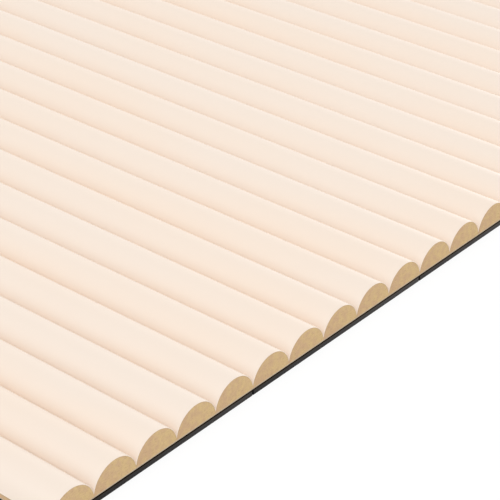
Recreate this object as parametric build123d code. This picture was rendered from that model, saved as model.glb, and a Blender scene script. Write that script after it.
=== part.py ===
from build123d import *
import os

# Flexible fluted panel: rounded MDF slats side by side on a thin film, with
# narrow backing strips under the film. X runs along the flutes, Y runs across
# them, and Z = 0 is the back face that goes against the wall.

# Driving dimensions, in millimetres
panel_length = 2400.0
slat_pitch = 24.0
slat_gap = 0.05
slat_height = 11.85
slat_side = 2.6
slats_per_strip = 5
strip_count = 5
film_thickness = 0.9
strip_thickness = 2.4
strip_joint = 0.4

# Sizes that follow from them
slat_count = slats_per_strip * strip_count
slat_width = slat_pitch - slat_gap
strip_pitch = slats_per_strip * slat_pitch
strip_width = strip_pitch - strip_joint
panel_width = slat_count * slat_pitch - slat_gap
film_bottom = strip_thickness
slat_bottom = film_bottom + film_thickness


def place_across(number: int, count: int, pitch: float) -> float:
    """Y of piece `number`, counted from 1, in a row centred on Y = 0."""
    return (number - (count + 1) / 2) * pitch


def rounded_slat() -> Part:
    """A slat along X on Z = 0, with low upright sides and an arc over them."""
    side = slat_width / 2
    arc = ThreePointArc((side, slat_side), (0, slat_height), (-side, slat_side))
    foot = Polyline((-side, slat_side), (-side, 0), (side, 0), (side, slat_side))
    section = Plane.YZ * make_face(arc + foot)
    return extrude(section, amount=panel_length / 2, both=True)


def flat_layer(width: float, thickness: float) -> Part:
    """A flat layer as long as the panel, standing on Z = 0 and centred on Y = 0."""
    return Box(panel_length, width, thickness, align=(Align.CENTER, Align.CENTER, Align.MIN))


def build_panel() -> dict[str, Part]:
    """Every piece of the panel, by the name of its node."""
    pieces = {}
    for number in range(1, slat_count + 1):
        y = place_across(number, slat_count, slat_pitch)
        pieces[f"slat_{number:02d}"] = Pos(0, y, slat_bottom) * rounded_slat()
    pieces["carrier_film"] = Pos(0, 0, film_bottom) * flat_layer(panel_width, film_thickness)
    for number in range(1, strip_count + 1):
        y = place_across(number, strip_count, strip_pitch)
        pieces[f"backing_strip_{number}"] = Pos(0, y, 0) * flat_layer(strip_width, strip_thickness)
    return pieces


os.makedirs("parts", exist_ok=True)
for name, piece in build_panel().items():
    export_step(piece, f"parts/{name}.step")
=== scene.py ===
"""Looks of a flexible fluted panel.

Cream coated rounded slats of fibreboard lie side by side on a black film, over dark
felt backing strips. The panel lies flat on a pale floor, seen along its sawn end.
"""

import logging
import math
from dataclasses import dataclass, field
from enum import Enum

import bmesh
import bpy
from mathutils import Euler, Matrix, Vector


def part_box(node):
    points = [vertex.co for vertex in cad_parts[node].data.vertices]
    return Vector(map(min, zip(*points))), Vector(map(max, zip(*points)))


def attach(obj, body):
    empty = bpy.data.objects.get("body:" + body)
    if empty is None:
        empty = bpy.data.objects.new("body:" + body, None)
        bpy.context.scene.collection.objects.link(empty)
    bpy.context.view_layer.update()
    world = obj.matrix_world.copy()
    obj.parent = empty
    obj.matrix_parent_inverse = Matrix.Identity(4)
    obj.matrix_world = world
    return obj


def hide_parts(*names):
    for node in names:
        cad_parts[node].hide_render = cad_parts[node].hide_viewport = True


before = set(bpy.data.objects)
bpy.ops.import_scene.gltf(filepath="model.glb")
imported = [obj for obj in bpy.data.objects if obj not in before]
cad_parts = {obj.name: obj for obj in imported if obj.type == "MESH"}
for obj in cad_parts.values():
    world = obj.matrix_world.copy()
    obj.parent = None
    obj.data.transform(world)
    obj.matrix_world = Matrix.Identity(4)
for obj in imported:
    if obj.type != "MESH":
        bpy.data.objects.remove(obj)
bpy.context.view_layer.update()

MM = 0.001
Colour = tuple[float, float, float, float]
Material = bpy.types.Material
Node = bpy.types.Node
Piece = bpy.types.Object
Shape = bmesh.types.BMesh
Socket = bpy.types.NodeSocket
WHITE: Colour = (1.0, 1.0, 1.0, 1.0)


def srgb(red: int, green: int, blue: int) -> Colour:
    """Turn a colour as a screen shows it into the linear light that shaders use.

    Args:
        red: Red, 0 to 255.
        green: Green, 0 to 255.
        blue: Blue, 0 to 255.

    Returns:
        The linear colour, with an alpha of 1.
    """

    def linear(level: int) -> float:
        """One channel of the sRGB curve."""
        share = level / 255
        return share / 12.92 if share <= 0.04045 else ((share + 0.055) / 1.055) ** 2.4

    return (linear(red), linear(green), linear(blue), 1.0)


class Face(Enum):
    """The two kinds of surface on a slat, as its material slots."""

    COATED = 0
    SAWN = 1


@dataclass(frozen=True)
class Span:
    """The box that a piece fills, in metres."""

    low: Vector
    high: Vector

    @classmethod
    def of(cls, node: str) -> "Span":
        """The box of a CAD node.

        Args:
            node: The node's name.

        Returns:
            Its box.
        """
        return cls(*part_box(node))

    @property
    def size(self) -> Vector:
        """Length, width and height."""
        return self.high - self.low

    @property
    def middle(self) -> Vector:
        """The centre of the box."""
        return (self.low + self.high) / 2


@dataclass(frozen=True)
class StripPlan:
    """How the backing strips divide the panel's width, in metres."""

    pitch: float
    half_width: float

    @classmethod
    def of(cls, nodes: list[str]) -> "StripPlan":
        """The plan of a row of strips.

        Args:
            nodes: The strips' CAD nodes, in order across the panel.

        Returns:
            The plan.
        """
        first, second, last = (Span.of(nodes[place]) for place in (0, 1, -1))
        return cls(second.middle.y - first.middle.y, last.high.y)


@dataclass(frozen=True)
class Arc:
    """The round of a slat: the circle through its crest and its two shoulders."""

    radius: float
    centre: float

    @classmethod
    def over(cls, size: Vector, side: float) -> "Arc":
        """The arc that tops a slat.

        Args:
            size: Length, width and height of the slat.
            side: Height of its upright sides.

        Returns:
            The arc, with its centre's height measured from the slat's base.
        """
        rise = size.z - side
        radius = (size.y**2 / 4 + rise**2) / (2 * rise)
        return cls(radius, size.z - radius)


class NodeTree:
    """Short calls that add and wire the nodes of one material, world or group."""

    def __init__(self, tree: bpy.types.NodeTree) -> None:
        """Keep the tree that the calls work on.

        Args:
            tree: The tree.
        """
        self.tree = tree

    def add(self, kind: str, **settings: object) -> Node:
        """Add a node.

        Args:
            kind: The node's type name.
            settings: Properties of the node, such as its operation.

        Returns:
            The new node.
        """
        node = self.tree.nodes.new(kind)
        for name, value in settings.items():
            setattr(node, name, value)
        return node

    def feed(self, target: Socket, value: Socket | float | Colour) -> None:
        """Link a socket to the target, or set the target to a plain value.

        Args:
            target: The input that is fed.
            value: The socket or the plain value.
        """
        if isinstance(value, bpy.types.NodeSocket):
            self.tree.links.new(value, target)
        else:
            target.default_value = value

    def math(
        self,
        operation: str,
        first: Socket | float,
        second: Socket | float = 0.0,
        clamp: bool = False,
    ) -> Socket:
        """Work out one sum of two values.

        Args:
            operation: The Math node's operation.
            first: The first value.
            second: The second value.
            clamp: Whether the result is kept between 0 and 1.

        Returns:
            The result's socket.
        """
        node = self.add("ShaderNodeMath", operation=operation, use_clamp=clamp)
        self.feed(node.inputs[0], first)
        self.feed(node.inputs[1], second)
        return node.outputs[0]

    def fade(self, value: Socket, start: float, end: float) -> Socket:
        """Turn a value into a smooth step.

        Args:
            value: The value.
            start: Where the step is still 0.
            end: Where it has reached 1.

        Returns:
            The step's socket.
        """
        node = self.add("ShaderNodeMapRange", interpolation_type="SMOOTHSTEP")
        self.feed(node.inputs["Value"], value)
        node.inputs["From Min"].default_value = start
        node.inputs["From Max"].default_value = end
        return node.outputs["Result"]

    def blend(
        self, share: Socket | float, first: Socket | Colour, second: Socket | Colour
    ) -> Socket:
        """Mix two colours.

        Args:
            share: How much of the second colour shows, 0 to 1.
            first: The colour at 0.
            second: The colour at 1.

        Returns:
            The mixed colour's socket.
        """
        node = self.add("ShaderNodeMix", data_type="RGBA")
        start, end = (socket for socket in node.inputs if socket.type == "RGBA")
        self.feed(node.inputs["Factor"], share)
        self.feed(start, first)
        self.feed(end, second)
        return next(socket for socket in node.outputs if socket.type == "RGBA")

    def noise(
        self, place: Socket, scale: Socket | float, detail: float, roughness: float = 0.5
    ) -> Socket:
        """Noise from 0 to 1.

        Args:
            place: The coordinates it is read at.
            scale: Cells in a metre.
            detail: Octaves.
            roughness: Weight of the finer octaves.

        Returns:
            The noise value's socket.
        """
        node = self.add("ShaderNodeTexNoise")
        self.feed(node.inputs["Vector"], place)
        self.feed(node.inputs["Scale"], scale)
        self.feed(node.inputs["Detail"], detail)
        self.feed(node.inputs["Roughness"], roughness)
        return node.outputs["Fac"]

    def stretch(self, place: Socket, x: float = 1.0, y: float = 1.0) -> Socket:
        """Scale the coordinates; below 1 draws a texture out along that axis.

        Args:
            place: The coordinates.
            x: The scale along X.
            y: The scale along Y.

        Returns:
            The scaled coordinates' socket.
        """
        node = self.add("ShaderNodeMapping")
        self.feed(node.inputs["Vector"], place)
        node.inputs["Scale"].default_value = Vector((x, y, 1.0))
        return node.outputs["Vector"]

    def shader(self, kind: str, **values: float | Colour) -> Socket:
        """Add a shader with plain values.

        Args:
            kind: The node's type name.
            values: Its inputs, by name.

        Returns:
            The shader's socket.
        """
        node = self.add(kind)
        for name, value in values.items():
            node.inputs[name].default_value = value
        return node.outputs[0]

    def mix_shaders(self, share: Socket, first: Socket, second: Socket) -> Socket:
        """Mix two shaders.

        Args:
            share: How much of the second shows, 0 to 1.
            first: The shader at 0.
            second: The shader at 1.

        Returns:
            The mixed shader's socket.
        """
        node = self.add("ShaderNodeMixShader")
        for target, value in zip(node.inputs, (share, first, second)):
            self.feed(target, value)
        return node.outputs[0]


class GroupTree(NodeTree):
    """A shader node group that reads coordinates and gives plain numbers."""

    def __init__(self, name: str, settings: tuple[str, ...], results: tuple[str, ...]) -> None:
        """Start the group.

        Args:
            name: The group's name.
            settings: Names of its number inputs, which follow the input Vector.
            results: Names of its outputs.
        """
        super().__init__(bpy.data.node_groups.new(name, "ShaderNodeTree"))
        sockets = self.tree.interface
        sockets.new_socket("Vector", in_out="INPUT", socket_type="NodeSocketVector")
        for label in settings:
            sockets.new_socket(label, in_out="INPUT", socket_type="NodeSocketFloat")
        for label in results:
            sockets.new_socket(label, in_out="OUTPUT", socket_type="NodeSocketFloat")
        self.source = self.add("NodeGroupInput").outputs
        self.result = self.add("NodeGroupOutput").inputs

    def finish(self, **values: Socket) -> bpy.types.NodeTree:
        """Feed the outputs.

        Args:
            values: The value of each output, by name.

        Returns:
            The finished group.
        """
        for label, value in values.items():
            self.feed(self.result[label], value)
        return self.tree


class Effects:
    """The node groups that more than one finish may use, each built once."""

    PATCH_DETAIL = 3.0
    PATCH_FADE = (0.3, 0.7)
    GRAIN_DETAIL = 4.0
    GRAIN_ROUGHNESS = 0.65
    GRAIN_FADE = (0.28, 0.72)
    JOINT_FADE = (0.5, 1.0)

    def __init__(self) -> None:
        """Build the groups."""
        self.mottle = self._mottle()
        self.flute = self._flute()
        self.strip = self._strip()

    def _mottle(self) -> bpy.types.NodeTree:
        """Soft patches and fine grain, and the grain's height.

        Returns:
            The group.
        """
        group = GroupTree(
            "mottle", ("Patch Scale", "Grain Scale"), ("Patches", "Grain", "Height")
        )
        place = group.source["Vector"]
        patches = group.noise(place, group.source["Patch Scale"], self.PATCH_DETAIL)
        grain = group.noise(
            place, group.source["Grain Scale"], self.GRAIN_DETAIL, self.GRAIN_ROUGHNESS
        )
        return group.finish(
            Patches=group.fade(patches, *self.PATCH_FADE),
            Grain=group.fade(grain, *self.GRAIN_FADE),
            Height=grain,
        )

    def _flute(self) -> bpy.types.NodeTree:
        """Where a point lies in the section of its own slat, from the arc's centre.

        Returns:
            The group.
        """
        group = GroupTree(
            "flute_section", ("Pitch", "Centre Height"), ("Across", "Height", "Radius")
        )
        pitch = group.source["Pitch"]
        parts = group.add("ShaderNodeSeparateXYZ")
        group.feed(parts.inputs[0], group.source["Vector"])
        pitches = group.math("DIVIDE", parts.outputs["Y"], pitch)
        nearest = group.math("ROUND", pitches)
        across = group.math("MULTIPLY", group.math("SUBTRACT", pitches, nearest), pitch)
        height = group.math("SUBTRACT", parts.outputs["Z"], group.source["Centre Height"])
        squares = group.math(
            "ADD", group.math("MULTIPLY", across, across), group.math("MULTIPLY", height, height)
        )
        return group.finish(Across=across, Height=height, Radius=group.math("SQRT", squares))

    def _strip(self) -> bpy.types.NodeTree:
        """Where a point lies across its strip and across the panel, and how near a joint.

        Returns:
            The group.
        """
        group = GroupTree(
            "strip_place",
            ("Strip Pitch", "Joint Width", "Half Width"),
            ("Across", "Inward", "Joint"),
        )
        pitch = group.source["Strip Pitch"]
        parts = group.add("ShaderNodeSeparateXYZ")
        group.feed(parts.inputs[0], group.source["Vector"])
        strips = group.math("ADD", group.math("DIVIDE", parts.outputs["Y"], pitch), 0.5)
        across = group.math("FRACT", strips)
        nearer = group.math("MINIMUM", across, group.math("SUBTRACT", 1.0, across))
        away = group.math("MULTIPLY", nearer, pitch)
        widths = group.math("DIVIDE", away, group.source["Joint Width"])
        off_middle = group.math("ABSOLUTE", parts.outputs["Y"])
        outward = group.math("DIVIDE", off_middle, group.source["Half Width"])
        return group.finish(
            Across=across,
            Inward=group.math("SUBTRACT", 1.0, outward, clamp=True),
            Joint=group.math("SUBTRACT", 1.0, group.fade(widths, *self.JOINT_FADE)),
        )


@dataclass(frozen=True)
class Finish:
    """A material with one Principled BSDF, dressed by the finish's own nodes.

    The patches and the grain are given as cells in a metre.
    """

    name: str
    roughness: float
    patch_scale: float
    grain_scale: float
    relief: float
    specular: float = 0.5

    def material(self, effects: Effects) -> Material:
        """Build the material.

        Args:
            effects: The shared node groups.

        Returns:
            The finished material.
        """
        made = bpy.data.materials.new(self.name)
        made.use_nodes = True
        nodes = NodeTree(made.node_tree)
        shader = made.node_tree.nodes["Principled BSDF"]
        shader.inputs["Roughness"].default_value = self.roughness
        shader.inputs["Specular IOR Level"].default_value = self.specular
        place = nodes.add("ShaderNodeTexCoord").outputs["Object"]
        self.dress(nodes, shader, place, effects)
        return made

    def dress(self, nodes: NodeTree, shader: Node, place: Socket, effects: Effects) -> None:
        """Feed the shader; each finish has its own.

        Args:
            nodes: The material's nodes.
            shader: The Principled BSDF.
            place: The object's own coordinates.
            effects: The shared node groups.
        """
        raise NotImplementedError

    @staticmethod
    def use(
        nodes: NodeTree, group: bpy.types.NodeTree, place: Socket, **values: float
    ) -> bpy.types.NodeOutputs:
        """Place a shared group in the material.

        Args:
            nodes: The material's nodes.
            group: The group to place.
            place: The coordinates that it reads.
            values: Its inputs, with an underscore for each space.

        Returns:
            The group's outputs.
        """
        node = nodes.add("ShaderNodeGroup", node_tree=group)
        nodes.feed(node.inputs["Vector"], place)
        for label, value in values.items():
            node.inputs[label.replace("_", " ")].default_value = value
        return node.outputs

    def mottle(self, nodes: NodeTree, place: Socket, effects: Effects) -> bpy.types.NodeOutputs:
        """Place the patches and the grain at the finish's own scales.

        Args:
            nodes: The material's nodes.
            place: The coordinates that they are read at.
            effects: The shared node groups.

        Returns:
            The group's outputs.
        """
        scales = {"Patch_Scale": self.patch_scale, "Grain_Scale": self.grain_scale}
        return self.use(nodes, effects.mottle, place, **scales)

    def raise_grain(self, nodes: NodeTree, shader: Node, height: Socket) -> None:
        """Turn a height into relief of the finish's own depth.

        Args:
            nodes: The material's nodes.
            shader: The shader that takes the normal.
            height: The height's socket, about 0 to 1.
        """
        bump = nodes.add("ShaderNodeBump")
        bump.inputs["Distance"].default_value = self.relief
        nodes.feed(bump.inputs["Height"], height)
        nodes.feed(shader.inputs["Normal"], bump.outputs["Normal"])


@dataclass(frozen=True)
class CoatedFinish(Finish):
    """Satin cream coating, with faint patches and the trace of a roller."""

    name: str = "cream_coating"
    roughness: float = 0.42
    roughness_swing: float = 0.06
    patch_scale: float = 28.0
    grain_scale: float = 900.0
    relief: float = 0.01 * MM
    roller_draw: float = 0.25
    colour: Colour = srgb(246, 231, 217)
    patch_colour: Colour = srgb(247, 230, 214)

    def dress(self, nodes: NodeTree, shader: Node, place: Socket, effects: Effects) -> None:
        """Feed the cream colour, a slightly uneven gloss and a fine relief."""
        along = nodes.stretch(place, x=self.roller_draw)
        mottle = self.mottle(nodes, along, effects)
        colour = nodes.blend(mottle["Patches"], self.colour, self.patch_colour)
        nodes.feed(shader.inputs["Base Color"], colour)
        uneven = nodes.math("MULTIPLY", mottle["Grain"], self.roughness_swing)
        smoothest = self.roughness - self.roughness_swing / 2
        nodes.feed(shader.inputs["Roughness"], nodes.math("ADD", uneven, smoothest))
        self.raise_grain(nodes, shader, mottle["Height"])


@dataclass(frozen=True)
class SawnFinish(Finish):
    """Raw fibreboard where a slat is sawn: fine fibres, darker along the coating.

    The arc, the pitch, the height of the slats' base and that of their upright sides
    tell where the coating runs.
    """

    arc: Arc = field(kw_only=True)
    pitch: float = field(kw_only=True)
    base_height: float = field(kw_only=True)
    side: float = field(kw_only=True)
    name: str = "raw_fibreboard"
    roughness: float = 0.85
    specular: float = 0.3
    patch_scale: float = 330.0
    grain_scale: float = 1500.0
    relief: float = 0.08 * MM
    cool_colour: Colour = srgb(226, 196, 144)
    warm_colour: Colour = srgb(216, 181, 143)
    fibre_colour: Colour = srgb(182, 148, 107)
    fibre_share: float = 0.3
    fleck_colour: Colour = srgb(169, 132, 89)
    fleck_share: float = 0.4
    fleck_draw: float = 0.3
    fleck_scale: float = 1700.0
    fleck_detail: float = 3.0
    fleck_roughness: float = 0.6
    fleck_fade: tuple[float, float] = (0.52, 0.74)
    base_highlight_colour: Colour = srgb(203, 190, 172)
    base_highlight_width: float = 0.7 * MM
    rim_colour: Colour = srgb(190, 162, 126)
    rim_width: float = 0.7 * MM
    rim_raggedness: float = 0.3 * MM

    def dress(self, nodes: NodeTree, shader: Node, place: Socket, effects: Effects) -> None:
        """Feed the tan of the core, its fibres, a painted highlight along its base and the rim
        under the coating.
        """
        mottle = self.mottle(nodes, place, effects)
        centre = self.base_height + self.arc.centre
        section = self.use(nodes, effects.flute, place, Pitch=self.pitch, Centre_Height=centre)
        core = self.core(nodes, place, mottle, section["Across"])
        base = -self.arc.centre
        # Painted highlight: a paler, greyer band along the base of the sawn end.
        above_highlight = nodes.fade(section["Height"], base, base + self.base_highlight_width)
        board = nodes.blend(above_highlight, self.base_highlight_colour, core)
        swing = nodes.math("SUBTRACT", mottle["Grain"], 0.5)
        ragged = nodes.math("MULTIPLY", swing, self.rim_raggedness)
        radius = nodes.math("ADD", section["Radius"], ragged)
        rim = nodes.fade(radius, self.arc.radius - self.rim_width, self.arc.radius)
        shoulder = self.side - self.arc.centre
        coated = nodes.fade(section["Height"], shoulder - self.rim_width, shoulder)
        edge = nodes.math("MULTIPLY", rim, coated)
        nodes.feed(shader.inputs["Base Color"], nodes.blend(edge, board, self.rim_colour))
        self.raise_grain(nodes, shader, mottle["Height"])

    def core(
        self, nodes: NodeTree, place: Socket, mottle: bpy.types.NodeOutputs, across: Socket
    ) -> Socket:
        """Colour the core: cool to warm from side to side, with fibres and dark flecks.

        Args:
            nodes: The material's nodes.
            place: The object's own coordinates.
            mottle: The outputs of the patches and the grain.
            across: How far a point lies from the middle of its slat.

        Returns:
            The colour's socket.
        """
        side_to_side = nodes.math("DIVIDE", across, self.pitch)
        leaning = nodes.math("SUBTRACT", mottle["Patches"], side_to_side, clamp=True)
        plain = nodes.blend(leaning, self.cool_colour, self.warm_colour)
        fibres = nodes.math("MULTIPLY", mottle["Grain"], self.fibre_share)
        fibrous = nodes.blend(fibres, plain, self.fibre_colour)
        pressed = nodes.stretch(place, x=self.fleck_draw, y=self.fleck_draw)
        spots = nodes.noise(pressed, self.fleck_scale, self.fleck_detail, self.fleck_roughness)
        flecks = nodes.math("MULTIPLY", nodes.fade(spots, *self.fleck_fade), self.fleck_share)
        return nodes.blend(flecks, fibrous, self.fleck_colour)


@dataclass(frozen=True)
class LayerFinish(Finish):
    """A dark layer under the slats, dark at the joints, with a painted sheen that makes it paler
    toward the panel's middle.
    """

    plan: StripPlan = field(kw_only=True)
    dark_colour: Colour = field(kw_only=True)
    light_colour: Colour = field(kw_only=True)
    joint_colour: Colour = field(kw_only=True)
    joint_width: float = field(kw_only=True)
    painted_sheen_share: float = field(kw_only=True)

    def strip(self, nodes: NodeTree, place: Socket, effects: Effects) -> bpy.types.NodeOutputs:
        """Place the group that tells where a point lies on the strips.

        Args:
            nodes: The material's nodes.
            place: The object's own coordinates.
            effects: The shared node groups.

        Returns:
            The group's outputs.
        """
        return self.use(
            nodes,
            effects.strip,
            place,
            Strip_Pitch=self.plan.pitch,
            Joint_Width=self.joint_width,
            Half_Width=self.plan.half_width,
        )

    def paint(self, nodes: NodeTree, shader: Node, lightness: Socket, joint: Socket) -> None:
        """Feed the layer's colour.

        Args:
            nodes: The material's nodes.
            shader: The Principled BSDF.
            lightness: 0 for the dark colour, 1 for the light one.
            joint: 1 at a joint, 0 away from it.
        """
        plain = nodes.blend(lightness, self.dark_colour, self.light_colour)
        jointed = nodes.blend(joint, plain, self.joint_colour)
        nodes.feed(shader.inputs["Base Color"], jointed)


@dataclass(frozen=True)
class FilmFinish(LayerFinish):
    """Black carrier film with a brown cast and a slight texture."""

    name: str = "black_film"
    roughness: float = 0.7
    specular: float = 0.05
    patch_scale: float = 160.0
    grain_scale: float = 2400.0
    relief: float = 0.03 * MM
    dark_colour: Colour = srgb(20, 10, 2)
    light_colour: Colour = srgb(48, 34, 12)
    joint_colour: Colour = srgb(14, 12, 10)
    joint_width: float = 0.6 * MM
    painted_sheen_share: float = 0.6
    grain_share: float = 0.35

    def dress(self, nodes: NodeTree, shader: Node, place: Socket, effects: Effects) -> None:
        """Feed the film's colour, its texture and the dark line over a joint."""
        mottle = self.mottle(nodes, place, effects)
        strip = self.strip(nodes, place, effects)
        grain = nodes.math("MULTIPLY", mottle["Grain"], self.grain_share)
        # Painted sheen: the film is made paler toward the panel's middle.
        painted_sheen = nodes.math("MULTIPLY", strip["Inward"], self.painted_sheen_share)
        self.paint(nodes, shader, nodes.math("ADD", grain, painted_sheen), strip["Joint"])
        self.raise_grain(nodes, shader, mottle["Height"])


@dataclass(frozen=True)
class FeltFinish(LayerFinish):
    """Dense dark grey felt: tangled fibres, lighter from one side of a strip to the other."""

    name: str = "grey_felt"
    roughness: float = 0.95
    specular: float = 0.2
    patch_scale: float = 420.0
    grain_scale: float = 2600.0
    relief: float = 0.35 * MM
    dark_colour: Colour = srgb(25, 24, 24)
    light_colour: Colour = srgb(94, 91, 90)
    joint_colour: Colour = srgb(14, 13, 13)
    joint_width: float = 0.9 * MM
    painted_sheen_share: float = 0.45
    strip_ramp_share: float = 0.25
    strand_draw: float = 0.22
    strand_scale: float = 1900.0
    strand_detail: float = 3.0
    strand_share: float = 0.2
    fuzz_share: float = 0.5

    def dress(self, nodes: NodeTree, shader: Node, place: Socket, effects: Effects) -> None:
        """Feed the greys of the fibres, the dark cut edges and a fuzzy relief."""
        mottle = self.mottle(nodes, place, effects)
        strip = self.strip(nodes, place, effects)
        lengthwise = nodes.stretch(place, x=self.strand_draw)
        crosswise = nodes.stretch(place, y=self.strand_draw)
        strands = nodes.math(
            "MAXIMUM",
            nodes.noise(lengthwise, self.strand_scale, self.strand_detail),
            nodes.noise(crosswise, self.strand_scale, self.strand_detail),
        )
        # Each strip goes lighter from one side to the other.
        strip_ramp = nodes.math("MULTIPLY", strip["Across"], self.strip_ramp_share)
        # Painted sheen: the felt is made paler toward the panel's middle.
        painted_sheen = nodes.math("MULTIPLY", strip["Inward"], self.painted_sheen_share)
        tangle = nodes.math("MULTIPLY", strands, self.strand_share)
        lightness = nodes.math("ADD", nodes.math("ADD", strip_ramp, painted_sheen), tangle)
        self.paint(nodes, shader, lightness, strip["Joint"])
        fuzz = nodes.math("MULTIPLY", mottle["Height"], self.fuzz_share)
        self.raise_grain(nodes, shader, nodes.math("ADD", strands, fuzz))


def add_piece(
    name: str, shape: Shape, finishes: list[Material], nodes: list[str]
) -> Piece:
    """Make an object of a finished shape and tie it to the frame.

    Args:
        name: The piece's name.
        shape: The shape, in place, which is freed here.
        finishes: The materials, in the order of the faces' slots.
        nodes: The CAD nodes that the piece stands for.

    Returns:
        The piece.
    """
    bmesh.ops.recalc_face_normals(shape, faces=shape.faces)
    mesh = bpy.data.meshes.new(name)
    shape.to_mesh(mesh)
    shape.free()
    for finish in finishes:
        mesh.materials.append(finish)
    piece = bpy.data.objects.new(name, mesh)
    bpy.context.scene.collection.objects.link(piece)
    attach(piece, "root")
    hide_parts(*nodes)
    return piece


def ease(
    shape: Shape, edges: list[bmesh.types.BMEdge], width: float, steps: int
) -> list[bmesh.types.BMFace]:
    """Take the sharpness off some edges.

    Args:
        shape: The shape.
        edges: Its edges to ease.
        width: How far back from the edge the easing starts, in metres.
        steps: Faces across the easing.

    Returns:
        The new faces.
    """
    eased = bmesh.ops.bevel(
        shape,
        geom=edges,
        affect="EDGES",
        offset=width,
        segments=steps,
        profile=0.5,
        material=-1,
    )
    return eased["faces"]


@dataclass
class SlatRow:
    """The rounded slats, side by side across the panel.

    The two normals say how far a face must point along an axis to count as flat or as
    upright. The two reaches are distances too small to count.
    """

    nodes: list[str]
    finishes: dict[Face, Material]
    side: float = 2.6 * MM
    disc_steps: int = 192
    cut_reach: float = 1e-7
    arris: float = 0.25 * MM
    arris_steps: int = 2
    flat_normal: float = 0.9
    upright_normal: float = 0.999
    level_reach: float = 1e-6

    def section(self, span: Span) -> Shape:
        """Draw the section flat: a disc cut along a chord, with upright sides under it.

        Args:
            span: The box that the slat fills.

        Returns:
            The section as one face, with its base on local Y = 0.
        """
        shape = bmesh.new()
        arc = Arc.over(span.size, self.side)
        bmesh.ops.create_circle(
            shape, cap_ends=True, segments=self.disc_steps, radius=arc.radius
        )
        bmesh.ops.translate(shape, vec=(0, arc.centre, 0), verts=shape.verts)
        bmesh.ops.bisect_plane(
            shape,
            geom=shape.verts[:] + shape.edges[:] + shape.faces[:],
            dist=self.cut_reach,
            plane_co=(0, self.side, 0),
            plane_no=(0, -1, 0),
            clear_outer=True,
        )
        chord = min(shape.edges, key=lambda edge: edge.verts[0].co.y + edge.verts[1].co.y)
        foot = bmesh.ops.extrude_edge_only(shape, edges=[chord])
        corners = [item for item in foot["geom"] if isinstance(item, bmesh.types.BMVert)]
        bmesh.ops.translate(shape, vec=(0, -self.side, 0), verts=corners)
        bmesh.ops.recalc_face_normals(shape, faces=shape.faces)
        bmesh.ops.dissolve_edges(shape, edges=[chord])
        return shape

    def slat(self, span: Span) -> Shape:
        """Shape one slat: its section drawn out along X, with its sawn edges eased.

        Args:
            span: The box that the slat fills.

        Returns:
            The slat's shape, in place.
        """
        shape = self.section(span)
        upright = Matrix(((0, 0, 1, 0), (1, 0, 0, 0), (0, 1, 0, 0), (0, 0, 0, 1)))
        bmesh.ops.transform(shape, matrix=upright, verts=shape.verts)
        start = Vector((span.low.x, span.middle.y, span.low.z))
        bmesh.ops.translate(shape, vec=start, verts=shape.verts)
        drawn = bmesh.ops.extrude_face_region(shape, geom=shape.faces[:], use_keep_orig=True)
        far_end = [item for item in drawn["geom"] if isinstance(item, bmesh.types.BMVert)]
        bmesh.ops.translate(shape, vec=(span.size.x, 0, 0), verts=far_end)
        self.sort_faces(shape)
        self.ease_ends(shape)
        return shape

    def sort_faces(self, shape: Shape) -> None:
        """Leave every flat face as raw board, and coat and smooth the round.

        Args:
            shape: The slat's shape.
        """
        bmesh.ops.recalc_face_normals(shape, faces=shape.faces)
        for face in shape.faces:
            end = abs(face.normal.x) > self.flat_normal
            upright = abs(face.normal.y) > self.upright_normal
            raw = end or upright or face.normal.z < -self.flat_normal
            face.material_index = (Face.SAWN if raw else Face.COATED).value
            face.smooth = not raw

    def ease_ends(self, shape: Shape) -> None:
        """Take the sharpness off the coating where the saw cut it.

        Args:
            shape: The slat's shape.
        """
        both = {Face.COATED.value, Face.SAWN.value}
        rims = [
            edge
            for edge in shape.edges
            if {face.material_index for face in edge.link_faces} == both
            and abs(edge.verts[0].co.x - edge.verts[1].co.x) < self.level_reach
        ]
        for face in ease(shape, rims, self.arris, self.arris_steps):
            face.material_index = Face.COATED.value
            face.smooth = True
        for edge in shape.edges:
            kinds = {face.material_index for face in edge.link_faces}
            edge.smooth = len(kinds) == 1

    def build(self) -> list[Piece]:
        """Make every slat.

        Returns:
            The slats, in the order of their nodes.
        """
        looks = [self.finishes[kind] for kind in Face]
        slats = []
        for node in self.nodes:
            name = node.replace("slat", "half_round")
            shape = self.slat(Span.of(node))
            slats.append(add_piece(name, shape, looks, [node]))
        return slats


@dataclass
class CarrierFilm:
    """The film that holds the slats together, as the CAD has it."""

    node: str
    finish: Material

    def build(self) -> list[Piece]:
        """Dress the film's own node.

        Returns:
            The film, as the only item.
        """
        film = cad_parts[self.node]
        film.data.materials.clear()
        film.data.materials.append(self.finish)
        return [film]


@dataclass
class BackingStrips:
    """The felt strips under the film, with knife-cut edges."""

    nodes: list[str]
    finish: Material
    edge: float = 0.2 * MM
    edge_steps: int = 2

    def strip(self, span: Span) -> Shape:
        """Shape one strip.

        Args:
            span: The box that the strip fills.

        Returns:
            The strip's shape, in place.
        """
        shape = bmesh.new()
        bmesh.ops.create_cube(shape, size=1.0)
        bmesh.ops.scale(shape, vec=span.size, verts=shape.verts)
        bmesh.ops.translate(shape, vec=span.middle, verts=shape.verts)
        ease(shape, shape.edges[:], self.edge, self.edge_steps)
        return shape

    def build(self) -> list[Piece]:
        """Make every strip.

        Returns:
            The strips, in the order of their nodes.
        """
        strips = []
        for node in self.nodes:
            name = node.replace("backing", "felt")
            shape = self.strip(Span.of(node))
            strips.append(add_piece(name, shape, [self.finish], [node]))
        return strips


@dataclass
class Softbox:
    """A square area lamp that faces a point."""

    name: str
    place: Vector
    target: Vector
    side: float
    power: float

    def build(self) -> bpy.types.Object:
        """Add the lamp to the scene.

        Returns:
            The lamp's object.
        """
        lamp = bpy.data.lights.new(self.name, "AREA")
        lamp.shape = "SQUARE"
        lamp.size = self.side
        lamp.energy = self.power
        holder = bpy.data.objects.new(self.name, lamp)
        holder.location = self.place
        holder.rotation_euler = (self.target - self.place).to_track_quat("-Z", "Y").to_euler()
        bpy.context.scene.collection.objects.link(holder)
        return holder


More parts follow.
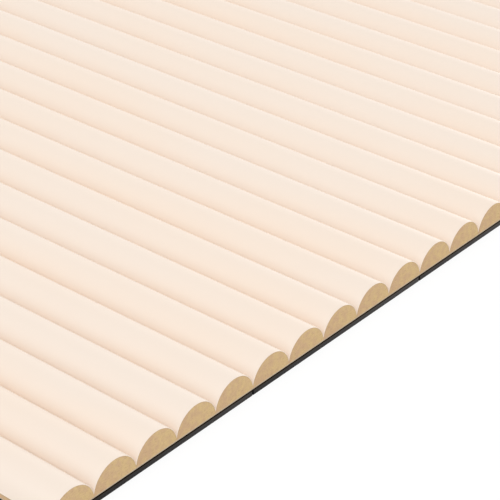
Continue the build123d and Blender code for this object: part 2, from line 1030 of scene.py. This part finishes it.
@dataclass
class Studio:
    """A pale floor, soft light all round and the camera.

    Lengths are in metres, angles in degrees and the lens in millimetres.
    """

    aim: tuple[float, float, float] = (1.12558, -0.09398, 0.00334)
    azimuth: float = 40.131
    elevation: float = 31.138
    roll: float = 0.198
    distance: float = 0.89457
    lens: float = 135.69
    floor_drop: float = 0.2 * MM
    floor_radius: float = 30.0
    floor_steps: int = 64
    floor_colour: Colour = (0.8, 0.8, 0.8, 1.0)
    floor_shade: Colour = (0.12, 0.12, 0.12, 1.0)
    floor_glow: float = 0.9
    world_light: float = 0.87
    lamp_target: tuple[float, float, float] = (0.9, 0.0, 0.0)

    @staticmethod
    def shown_directly(nodes: NodeTree) -> Socket:
        """Tell the rays that show the background itself, in the picture or in gloss.

        Args:
            nodes: The nodes to add to.

        Returns:
            A socket that is 1 for those rays and 0 for the others.
        """
        path = nodes.add("ShaderNodeLightPath").outputs
        seen = nodes.math("ADD", path["Is Camera Ray"], path["Is Glossy Ray"])
        return nodes.math("ADD", seen, path["Is Transmission Ray"], clamp=True)

    def world(self) -> None:
        """Light the scene evenly, and show plain white beyond the floor."""
        world = bpy.data.worlds.new("studio")
        bpy.context.scene.world = world
        world.use_nodes = True
        world.node_tree.nodes.clear()
        nodes = NodeTree(world.node_tree)
        light = nodes.shader("ShaderNodeBackground", Color=WHITE, Strength=self.world_light)
        white = nodes.shader("ShaderNodeBackground", Color=WHITE, Strength=1.0)
        mixed = nodes.mix_shaders(self.shown_directly(nodes), light, white)
        nodes.feed(nodes.add("ShaderNodeOutputWorld").inputs[0], mixed)

    def floor_material(self) -> Material:
        """A pale floor that reads as white, keeps a soft shadow and is clear from below.

        Returns:
            The material.
        """
        made = bpy.data.materials.new("pale_floor")
        made.use_nodes = True
        made.node_tree.nodes.clear()
        nodes = NodeTree(made.node_tree)
        bounce = nodes.shader("ShaderNodeBsdfDiffuse", Color=self.floor_colour)
        shade = nodes.shader("ShaderNodeBsdfDiffuse", Color=self.floor_shade)
        glow = nodes.shader("ShaderNodeEmission", Strength=self.floor_glow)
        shown = nodes.add("ShaderNodeAddShader")
        nodes.feed(shown.inputs[0], shade)
        nodes.feed(shown.inputs[1], glow)
        top = nodes.mix_shaders(self.shown_directly(nodes), bounce, shown.outputs[0])
        clear = nodes.shader("ShaderNodeBsdfTransparent")
        from_below = nodes.add("ShaderNodeNewGeometry").outputs["Backfacing"]
        both = nodes.mix_shaders(from_below, top, clear)
        nodes.feed(nodes.add("ShaderNodeOutputMaterial").inputs[0], both)
        return made

    def floor(self) -> bpy.types.Object:
        """Lay the floor just under the panel.

        Returns:
            The floor.
        """
        shape = bmesh.new()
        bmesh.ops.create_circle(
            shape, cap_ends=True, segments=self.floor_steps, radius=self.floor_radius
        )
        bmesh.ops.translate(shape, vec=(0, 0, -self.floor_drop), verts=shape.verts)
        mesh = bpy.data.meshes.new("floor")
        shape.to_mesh(mesh)
        shape.free()
        mesh.materials.append(self.floor_material())
        floor = bpy.data.objects.new("floor", mesh)
        bpy.context.scene.collection.objects.link(floor)
        return floor

    def camera(self) -> bpy.types.Object:
        """Set the camera where the photograph was taken from.

        Returns:
            The camera.
        """
        azimuth, elevation = math.radians(self.azimuth), math.radians(self.elevation)
        back = Vector(
            (
                math.sin(azimuth) * math.cos(elevation),
                -math.cos(azimuth) * math.cos(elevation),
                math.sin(elevation),
            )
        )
        lens = bpy.data.cameras.new("camera")
        lens.lens = self.lens
        camera = bpy.data.objects.new("camera", lens)
        turned = (-back).to_track_quat("-Z", "Y").to_matrix().to_4x4()
        turned = turned @ Euler((0, 0, math.radians(self.roll))).to_matrix().to_4x4()
        place = Vector(self.aim) + back * self.distance
        camera.matrix_world = Matrix.Translation(place) @ turned
        bpy.context.scene.collection.objects.link(camera)
        bpy.context.scene.camera = camera
        return camera

    def lamps(self) -> list[Softbox]:
        """A lamp by the camera, a low one across the flutes and one on the sawn end.

        Returns:
            The lamps, with their sides in metres and their powers in watts.
        """
        target = Vector(self.lamp_target)
        return [
            Softbox("near_softbox", Vector((1.4, -2.6, 3.0)), target, side=1.6, power=20.8),
            Softbox("far_softbox", Vector((0.6, 3.6, 0.5)), target, side=0.7, power=23.3),
            Softbox("end_softbox", Vector((4.2, -0.6, 1.2)), target, side=2.0, power=8.0),
        ]

    def build(self) -> None:
        """Set up the whole studio."""
        bpy.context.scene.view_settings.view_transform = "Standard"
        self.world()
        self.floor()
        self.camera()
        for lamp in self.lamps():
            lamp.build()


def nodes_like(start: str) -> list[str]:
    """The frame's nodes whose names begin alike.

    Args:
        start: How their names begin.

    Returns:
        Their names, in order.
    """
    return sorted(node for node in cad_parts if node.startswith(start))


def sawn_finish(slats: list[str]) -> SawnFinish:
    """The raw board's finish, fitted to the slats.

    Args:
        slats: The slats' CAD nodes, in order across the panel.

    Returns:
        The finish.
    """
    first, second = Span.of(slats[0]), Span.of(slats[1])
    return SawnFinish(
        arc=Arc.over(first.size, SlatRow.side),
        pitch=second.middle.y - first.middle.y,
        base_height=first.low.z,
        side=SlatRow.side,
    )


def main() -> None:
    """Build the panel and the studio round it."""
    logging.basicConfig(level=logging.INFO, format="%(message)s")
    effects = Effects()
    slats, strips = nodes_like("slat_"), nodes_like("backing_strip_")
    plan = StripPlan.of(strips)
    looks = {
        Face.COATED: CoatedFinish().material(effects),
        Face.SAWN: sawn_finish(slats).material(effects),
    }
    assemblies = [
        SlatRow(slats, looks),
        CarrierFilm("carrier_film", FilmFinish(plan=plan).material(effects)),
        BackingStrips(strips, FeltFinish(plan=plan).material(effects)),
    ]
    for assembly in assemblies:
        for piece in assembly.build():
            logging.info("%s: %d faces", piece.name, len(piece.data.polygons))
    Studio().build()


if __name__ == "__main__":
    main()
